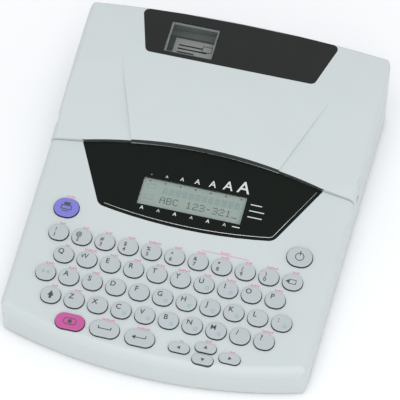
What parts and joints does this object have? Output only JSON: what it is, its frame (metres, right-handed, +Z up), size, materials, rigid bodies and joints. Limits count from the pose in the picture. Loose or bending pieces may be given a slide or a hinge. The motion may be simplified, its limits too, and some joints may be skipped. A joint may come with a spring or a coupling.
{
  "type": "label maker",
  "caption": "Desktop label maker with a full keyboard, a display window and a hinged cover over a tape cassette and its print and cut drive.",
  "frame": {"origin": "middle of the bounding box in plan, at the surface that the feet stand on", "axes": "+X to the right of the keyboard, +Y to the back, +Z up"},
  "size_m": [0.2086, 0.256, 0.0604],
  "materials": {
    "case_plastic": "silver grey moulded plastic, fine satin texture",
    "panel_black": "gloss black printed panel",
    "window_clear": "clear acrylic",
    "window_tint": "smoked acrylic",
    "lcd_glass": "grey green liquid crystal glass",
    "rubber_black": "matt rubber",
    "steel": "plated steel",
    "black_plastic": "black moulded plastic",
    "cell_wrap": "printed cell sleeve, plain",
    "board_green": "solder mask",
    "silicone": "moulded silicone",
    "key_grey": "light grey satin keys",
    "key_blue": "blue violet satin key",
    "key_magenta": "magenta satin key",
    "chassis_grey": "dark grey moulded plastic",
    "ceramic": "glazed ceramic",
    "aluminium": "bare aluminium",
    "gear_cream": "natural acetal",
    "brass": "turned brass",
    "cassette_grey": "grey moulded plastic",
    "paper": "coated paper",
    "tape_white": "laminated tape",
    "ribbon_black": "ink ribbon"
  },
  "bodies": {
    "case": {"bottom_case": "case_plastic", "top_case": "case_plastic", "display_panel": "panel_black", "display_window": "window_clear", "lcd_module": "lcd_glass", "rubber_feet": "rubber_black", "case_screws": "steel", "exit_bezel": "black_plastic", "dc_jack": "black_plastic", "hinge_pins": "steel", "battery_cells": "cell_wrap", "battery_contacts": "steel", "key_board": "board_green", "keypad_mat": "silicone", "main_board": "board_green", "chassis": "chassis_grey", "print_head": "ceramic", "heat_sink": "aluminium", "drive_motor": "steel", "cutter_frame": "steel", "fixed_blade": "steel", "cassette_lower": "cassette_grey", "cassette_upper": "cassette_grey", "cassette_label": "paper", "label_tape": "tape_white"},
    "cover": {"tape_cover": "case_plastic", "cover_panel": "panel_black", "cover_window": "window_tint"},
    "battery_door": {"battery_cover": "case_plastic"},
    "pinion": {"motor_pinion": "brass"},
    "idler_one": {"idler_gear_1": "gear_cream"},
    "idler_two": {"idler_gear_2": "gear_cream"},
    "ribbon_drive": {"ribbon_gear": "gear_cream", "ribbon_takeup_spool": "ribbon_black"},
    "tape_drive": {"feed_gear": "gear_cream", "tape_drive_roller": "rubber_black"},
    "tape_reel": {"label_tape_spool": "tape_white"},
    "ribbon_reel": {"ribbon_supply_spool": "ribbon_black"},
    "platen_arm": {"platen_holder": "gear_cream"},
    "platen": {"platen_roller": "rubber_black"},
    "pinch": {"pinch_roller": "rubber_black"},
    "cutter_crank": {"cutter_gear": "gear_cream"},
    "cutter_slide": {"cutter_blade": "steel"},
    "print_key": {"print_key": "key_blue"},
    "power_key": {"power_key": "key_grey"},
    "delete_key": {"delete_key": "key_grey"},
    "alt_key": {"alt_key": "key_grey"},
    "shift_key": {"shift_key": "key_grey"},
    "code_key": {"code_key": "key_magenta"},
    "space_key": {"space_key": "key_grey"},
    "return_key": {"return_key": "key_grey"},
    "left_key": {"left_key": "key_grey"},
    "up_key": {"up_key": "key_grey"},
    "down_key": {"down_key": "key_grey"},
    "right_key": {"right_key": "key_grey"},
    "digit_keys": {"digit_keys": "key_grey"},
    "top_letter_keys": {"top_letter_keys": "key_grey"},
    "home_letter_keys": {"home_letter_keys": "key_grey"},
    "low_letter_keys": {"low_letter_keys": "key_grey"}
  },
  "joints": [
    {"name": "cover_hinge", "type": "hinge", "parent": "case", "child": "cover", "pos_m": [0, 0.1215, 0.028], "axis": [-1, 0, 0], "range_deg": [0, 75]},
    {"name": "battery_cover_slide", "type": "slide", "parent": "case", "child": "battery_door", "axis": [0, 1, 0], "range_m": [0, 0.008]},
    {"name": "print_key_press", "type": "slide", "parent": "case", "child": "print_key", "axis": [0, 0.0993, -0.9951], "range_m": [0, 0.0012], "stiffness_N_per_m": 120},
    {"name": "power_key_press", "type": "slide", "parent": "case", "child": "power_key", "axis": [0, 0.0993, -0.9951], "range_m": [0, 0.0012], "stiffness_N_per_m": 120},
    {"name": "delete_key_press", "type": "slide", "parent": "case", "child": "delete_key", "axis": [0, 0.0993, -0.9951], "range_m": [0, 0.0012], "stiffness_N_per_m": 120},
    {"name": "alt_key_press", "type": "slide", "parent": "case", "child": "alt_key", "axis": [0, 0.0993, -0.9951], "range_m": [0, 0.0012], "stiffness_N_per_m": 120},
    {"name": "shift_key_press", "type": "slide", "parent": "case", "child": "shift_key", "axis": [0, 0.0993, -0.9951], "range_m": [0, 0.0012], "stiffness_N_per_m": 120},
    {"name": "code_key_press", "type": "slide", "parent": "case", "child": "code_key", "axis": [0, 0.0993, -0.9951], "range_m": [0, 0.0012], "stiffness_N_per_m": 120},
    {"name": "space_key_press", "type": "slide", "parent": "case", "child": "space_key", "axis": [0, 0.0993, -0.9951], "range_m": [0, 0.0012], "stiffness_N_per_m": 120},
    {"name": "return_key_press", "type": "slide", "parent": "case", "child": "return_key", "axis": [0, 0.0993, -0.9951], "range_m": [0, 0.0012], "stiffness_N_per_m": 120},
    {"name": "left_key_press", "type": "slide", "parent": "case", "child": "left_key", "axis": [0, 0.0993, -0.9951], "range_m": [0, 0.0012], "stiffness_N_per_m": 120},
    {"name": "up_key_press", "type": "slide", "parent": "case", "child": "up_key", "axis": [0, 0.0993, -0.9951], "range_m": [0, 0.0012], "stiffness_N_per_m": 120},
    {"name": "down_key_press", "type": "slide", "parent": "case", "child": "down_key", "axis": [0, 0.0993, -0.9951], "range_m": [0, 0.0012], "stiffness_N_per_m": 120},
    {"name": "right_key_press", "type": "slide", "parent": "case", "child": "right_key", "axis": [0, 0.0993, -0.9951], "range_m": [0, 0.0012], "stiffness_N_per_m": 120},
    {"name": "digit_keys_press", "type": "slide", "parent": "case", "child": "digit_keys", "axis": [0, 0.0993, -0.9951], "range_m": [0, 0.0012], "stiffness_N_per_m": 1200},
    {"name": "top_letter_keys_press", "type": "slide", "parent": "case", "child": "top_letter_keys", "axis": [0, 0.0993, -0.9951], "range_m": [0, 0.0012], "stiffness_N_per_m": 1200},
    {"name": "home_letter_keys_press", "type": "slide", "parent": "case", "child": "home_letter_keys", "axis": [0, 0.0993, -0.9951], "range_m": [0, 0.0012], "stiffness_N_per_m": 1200},
    {"name": "low_letter_keys_press", "type": "slide", "parent": "case", "child": "low_letter_keys", "axis": [0, 0.0993, -0.9951], "range_m": [0, 0.0012], "stiffness_N_per_m": 1080},
    {"name": "idler_one_spin", "type": "hinge", "parent": "case", "child": "idler_one", "pos_m": [-0.00408, 0.06635, 0.022], "axis": [0, 0, 1], "continuous": true},
    {"name": "pinion_spin", "type": "hinge", "parent": "case", "child": "pinion", "pos_m": [0.00996, 0.084, 0.022], "axis": [0, 0, 1], "continuous": true},
    {"name": "idler_two_spin", "type": "hinge", "parent": "case", "child": "idler_two", "pos_m": [-0.03543, 0.07346, 0.022], "axis": [0, 0, 1], "continuous": true},
    {"name": "ribbon_spin", "type": "hinge", "parent": "case", "child": "ribbon_drive", "pos_m": [-0.05805, 0.08401, 0.022], "axis": [0, 0, 1], "continuous": true},
    {"name": "feed_spin", "type": "hinge", "parent": "case", "child": "tape_drive", "pos_m": [-0.06954, 0.06945, 0.022], "axis": [0, 0, 1], "continuous": true},
    {"name": "tape_reel_spin", "type": "hinge", "parent": "case", "child": "tape_reel", "pos_m": [-0.02804, 0.094, 0.022], "axis": [0, 0, 1], "continuous": true},
    {"name": "ribbon_reel_spin", "type": "hinge", "parent": "case", "child": "ribbon_reel", "pos_m": [-0.06004, 0.104, 0.022], "axis": [0, 0, 1], "continuous": true},
    {"name": "platen_release", "type": "hinge", "parent": "case", "child": "platen_arm", "pos_m": [-0.04004, 0.054, 0.03], "axis": [0, 0, 1], "range_deg": [0, 6]},
    {"name": "platen_spin", "type": "hinge", "parent": "platen_arm", "child": "platen", "pos_m": [-0.05904, 0.0631, 0.022], "axis": [0, 0, 1], "continuous": true},
    {"name": "pinch_spin", "type": "hinge", "parent": "platen_arm", "child": "pinch", "pos_m": [-0.06954, 0.0631, 0.022], "axis": [0, 0, 1], "continuous": true},
    {"name": "cutter_crank_turn", "type": "hinge", "parent": "case", "child": "cutter_crank", "pos_m": [-0.08804, 0.051, 0.029], "axis": [0, 0, 1], "range_deg": [0, 60]},
    {"name": "cutter_stroke", "type": "slide", "parent": "case", "child": "cutter_slide", "axis": [0, 1, 0], "range_m": [0, 0.005]}
  ],
  "couplings": [
    {"joint": "pinion_spin", "follows": "idler_one_spin", "ratio": -3.6667},
    {"joint": "idler_two_spin", "follows": "idler_one_spin", "ratio": -1.2222},
    {"joint": "ribbon_spin", "follows": "idler_one_spin", "ratio": 1.6923},
    {"joint": "feed_spin", "follows": "idler_one_spin", "ratio": -2.2},
    {"joint": "tape_reel_spin", "follows": "idler_one_spin", "ratio": -0.30753},
    {"joint": "ribbon_reel_spin", "follows": "idler_one_spin", "ratio": -0.60851},
    {"joint": "platen_spin", "follows": "idler_one_spin", "ratio": 1.9067},
    {"joint": "pinch_spin", "follows": "idler_one_spin", "ratio": 1.9067},
    {"joint": "cutter_crank_turn", "follows": "cutter_stroke", "rad_per_m": 209.44}
  ]
}
